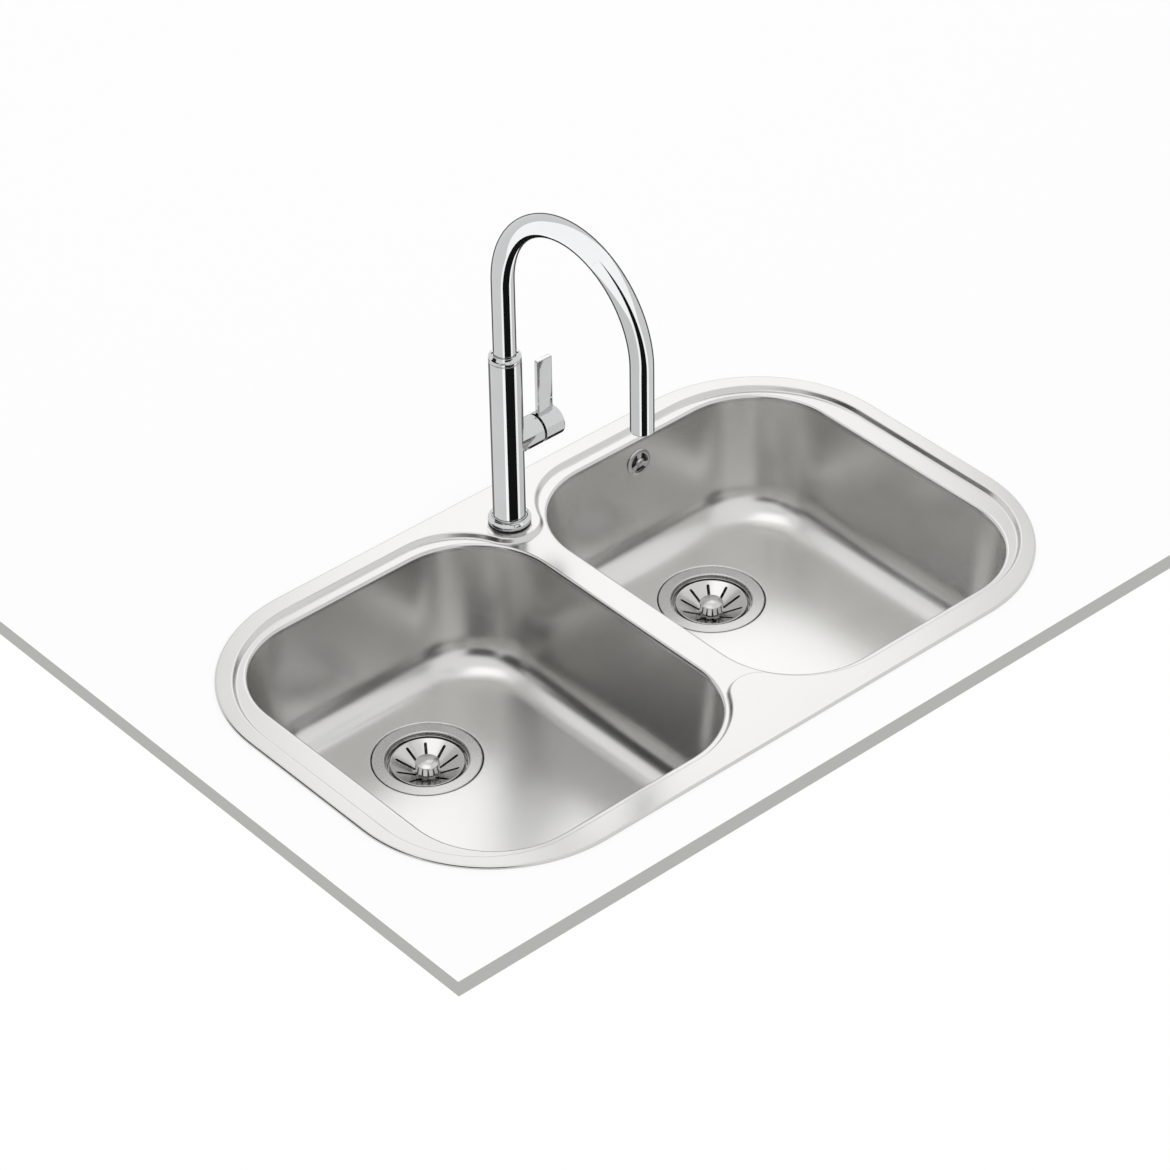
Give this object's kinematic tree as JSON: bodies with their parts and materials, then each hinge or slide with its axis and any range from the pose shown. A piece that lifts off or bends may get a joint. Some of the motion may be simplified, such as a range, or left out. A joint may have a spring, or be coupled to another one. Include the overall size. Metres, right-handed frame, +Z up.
{
  "type": "double bowl kitchen sink with mixer tap",
  "caption": "Drop-in stainless steel double bowl kitchen sink with a swivel mixer tap, lift-out strainers, overflow, fixing clips and joined waste pipes.",
  "frame": {"origin": "middle of the sink in plan, on the worktop's top face", "axes": "+X along the sink's length to the right bowl, +Y to the back where the tap stands, +Z up"},
  "size_m": [0.84, 0.5, 0.744],
  "materials": {
    "satin_steel": "satin brushed stainless steel",
    "bright_steel": "polished stainless steel",
    "chrome": "mirror chrome",
    "zinc_steel": "zinc plated",
    "brass": "turned brass",
    "rubber": "matt black",
    "foam": "closed-cell foam",
    "white_plastic": "semi-matt",
    "grey_plastic": "semi-matt"
  },
  "bodies": {
    "sink": {"sink_deck": "satin_steel", "left_bowl": "satin_steel", "right_bowl": "satin_steel", "left_strainer_cup": "bright_steel", "left_waste_screw": "bright_steel", "right_strainer_cup": "bright_steel", "right_waste_screw": "bright_steel", "overflow_rosette": "bright_steel", "overflow_screw": "bright_steel", "tap_body": "chrome", "tap_base_ring": "chrome", "spout_collar": "chrome", "tap_support_plate": "zinc_steel", "back_clip_rail": "zinc_steel", "front_clip_rail": "zinc_steel", "back_clip_bracket_1": "zinc_steel", "back_clip_bracket_2": "zinc_steel", "front_clip_bracket_1": "zinc_steel", "front_clip_bracket_2": "zinc_steel", "back_clip_screw_1": "zinc_steel", "back_clip_screw_2": "zinc_steel", "front_clip_screw_1": "zinc_steel", "front_clip_screw_2": "zinc_steel", "clamp_plate": "zinc_steel", "clamp_stud": "zinc_steel", "clamp_nut": "brass", "cartridge_nut": "brass", "left_sound_pad": "rubber", "right_sound_pad": "rubber", "tap_base_seal": "rubber", "clamp_rubber_washer": "rubber", "spout_seal": "rubber", "left_cup_gasket": "rubber", "right_cup_gasket": "rubber", "rim_gasket": "foam", "spout_bush": "white_plastic", "left_waste_body": "white_plastic", "right_waste_body": "white_plastic", "left_slip_nut": "white_plastic", "right_slip_nut": "white_plastic", "left_branch_pipe": "white_plastic", "right_branch_pipe": "white_plastic", "waste_tee": "white_plastic", "cartridge_body": "grey_plastic", "overflow_housing": "grey_plastic", "overflow_pipe": "grey_plastic"},
    "spout": {"spout": "chrome", "aerator_housing": "chrome", "aerator_insert": "grey_plastic"},
    "guide": {"cartridge_guide": "white_plastic"},
    "lever": {"lever": "chrome", "cartridge_stem": "zinc_steel", "lever_grub_screw": "zinc_steel"},
    "left_strainer": {"left_strainer_basket": "bright_steel", "left_strainer_knob": "bright_steel", "left_strainer_seal": "rubber"},
    "right_strainer": {"right_strainer_basket": "bright_steel", "right_strainer_knob": "bright_steel", "right_strainer_seal": "rubber"}
  },
  "joints": [
    {"name": "spout_swivel", "type": "hinge", "parent": "sink", "child": "spout", "pos_m": [0, 0.19, 0.205], "axis": [0, 0, 1], "range_deg": [-90, 90]},
    {"name": "lever_temperature", "type": "hinge", "parent": "sink", "child": "guide", "pos_m": [0.028, 0.19, 0.101], "axis": [1, 0, 0], "range_deg": [-45, 45]},
    {"name": "lever_flow", "type": "hinge", "parent": "guide", "child": "lever", "pos_m": [0.028, 0.19, 0.101], "axis": [0, 1, 0], "range_deg": [0, 20]},
    {"name": "left_strainer_lift", "type": "slide", "parent": "sink", "child": "left_strainer", "axis": [0, 0, 1], "range_m": [0, 0.2]},
    {"name": "right_strainer_lift", "type": "slide", "parent": "sink", "child": "right_strainer", "axis": [0, 0, 1], "range_m": [0, 0.2]}
  ]
}
